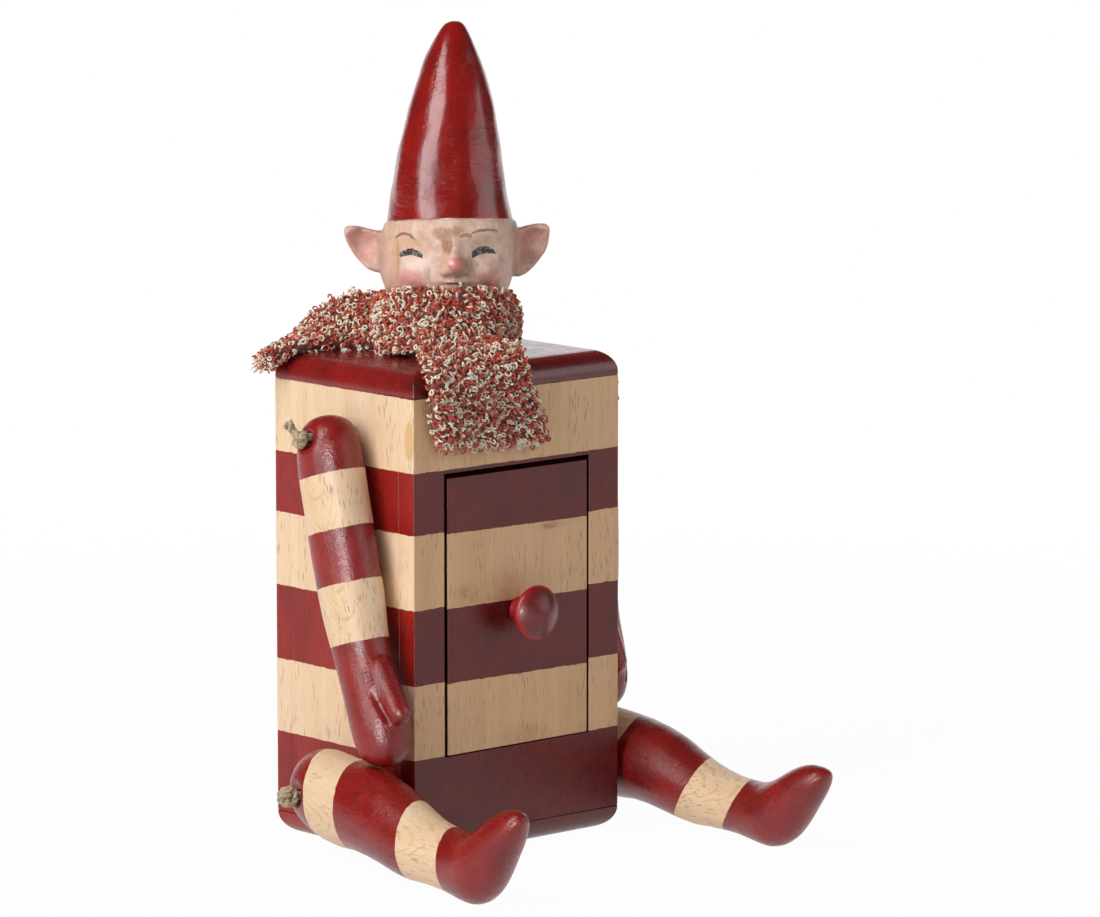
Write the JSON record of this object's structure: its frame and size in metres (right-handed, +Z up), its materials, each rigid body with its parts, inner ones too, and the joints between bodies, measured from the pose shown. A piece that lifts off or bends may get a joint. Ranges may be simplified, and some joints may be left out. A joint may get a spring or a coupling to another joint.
{
  "type": "sitting box elf with a drawer",
  "caption": "Seated wooden elf toy: a striped box body with a pull-out drawer, limbs strung on twine, a turning head under a cone hat, and a knitted scarf.",
  "frame": {"origin": "middle of the box's underside, on the surface that it sits on", "axes": "+Z up, -Y out of the drawer's front, -X towards the toy's own right"},
  "size_m": [0.1428, 0.1397, 0.2417],
  "materials": {
    "red_board": "satin red paint over beech, grain showing through",
    "striped_board": "beech with broad red painted stripes, satin",
    "plain_beech": "bare sanded beech",
    "red_gloss_knob": "glossy red paint",
    "brass_screw": "plain turned brass",
    "painted_skin": "hand-painted cast head with a brown wash",
    "red_gloss_hat": "thick glossy red paint, slightly uneven",
    "looped_knit": "looped knit in red and cream yarn",
    "striped_limb": "carved beech with red painted bands, satin gloss",
    "twine": "natural twisted twine"
  },
  "bodies": {
    "box": {"top_board": "red_board", "bottom_board": "red_board", "front_frame": "striped_board", "back_panel": "striped_board", "right_side": "striped_board", "left_side": "striped_board", "drawer_shelf": "plain_beech", "drawer_ceiling": "plain_beech", "drawer_guide_right": "plain_beech", "drawer_guide_left": "plain_beech", "neck_dowel": "plain_beech", "scarf": "looped_knit", "shoulder_cord": "twine", "hip_cord": "twine"},
    "drawer": {"drawer_front": "striped_board", "drawer_right_side": "plain_beech", "drawer_left_side": "plain_beech", "drawer_back": "plain_beech", "drawer_bottom": "plain_beech", "knob": "red_gloss_knob", "knob_screw": "brass_screw"},
    "head": {"head": "painted_skin", "hat": "red_gloss_hat"},
    "right_arm": {"right_arm": "striped_limb"},
    "left_arm": {"left_arm": "striped_limb"},
    "right_leg": {"right_leg": "striped_limb"},
    "left_leg": {"left_leg": "striped_limb"}
  },
  "joints": [
    {"name": "drawer_slide", "type": "slide", "parent": "box", "child": "drawer", "axis": [0, -1, 0], "range_m": [0, 0.04]},
    {"name": "head_turn", "type": "hinge", "parent": "box", "child": "head", "pos_m": [0, 0, 0.16], "axis": [0, 0, 1], "continuous": true},
    {"name": "right_shoulder", "type": "hinge", "parent": "box", "child": "right_arm", "pos_m": [-0.0503, -0.005, 0.125], "axis": [-1, 0, 0], "range_deg": [0, 180]},
    {"name": "left_shoulder", "type": "hinge", "parent": "box", "child": "left_arm", "pos_m": [0.0503, -0.005, 0.125], "axis": [-1, 0, 0], "range_deg": [0, 300]},
    {"name": "right_hip", "type": "hinge", "parent": "box", "child": "right_leg", "pos_m": [-0.0527, -0.005, 0.02], "axis": [1, 0, 0], "range_deg": [0, 90]},
    {"name": "left_hip", "type": "hinge", "parent": "box", "child": "left_leg", "pos_m": [0.0527, -0.005, 0.02], "axis": [1, 0, 0], "range_deg": [0, 90]}
  ]
}
